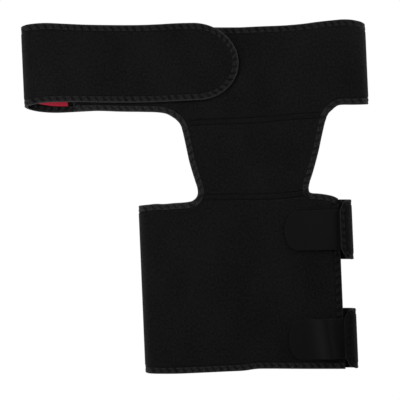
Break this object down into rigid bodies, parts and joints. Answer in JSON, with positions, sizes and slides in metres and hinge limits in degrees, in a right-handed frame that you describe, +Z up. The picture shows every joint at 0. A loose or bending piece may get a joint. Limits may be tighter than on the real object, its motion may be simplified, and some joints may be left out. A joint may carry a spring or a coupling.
{
  "type": "thigh compression sleeve",
  "caption": "Flat-lying hip brace: a closed waist belt, a hip panel and a thigh compression wrap whose tongues fold round to hook tabs.",
  "frame": {"origin": "centre of the bounding box, on the surface that the brace lies on", "axes": "+Z up, through the flattened thickness; +X along the waist belt, towards the fold next to the hip panel; +Y from the thigh wrap up to the waist belt"},
  "size_m": [0.435, 0.4428, 0.023],
  "materials": {
    "neoprene_knit": "matt knitted face",
    "binding_tape": "matt woven tape, stitched",
    "seam_thread": "matt thread, flat seam",
    "hook_tape": "satin",
    "label_satin": "satin"
  },
  "bodies": {
    "root": {"belt_binding": "binding_tape", "belt_end_binding": "binding_tape", "belt_hook_patch": "hook_tape", "belt_label": "label_satin", "belt_seam": "seam_thread", "hip_panel": "neoprene_knit", "left_side_binding": "binding_tape", "lower_hook_tab": "hook_tape", "lower_tongue": "neoprene_knit", "lower_tongue_binding": "binding_tape", "lower_tongue_seam": "seam_thread", "right_side_binding": "binding_tape", "thigh_bottom_binding": "binding_tape", "thigh_front_end_binding": "binding_tape", "thigh_rear_end_binding": "binding_tape", "thigh_seam": "seam_thread", "thigh_wrap": "neoprene_knit", "upper_hook_tab": "hook_tape", "upper_tongue": "neoprene_knit", "upper_tongue_binding": "binding_tape", "upper_tongue_seam": "seam_thread", "waist_belt": "neoprene_knit"}
  },
  "joints": []
}
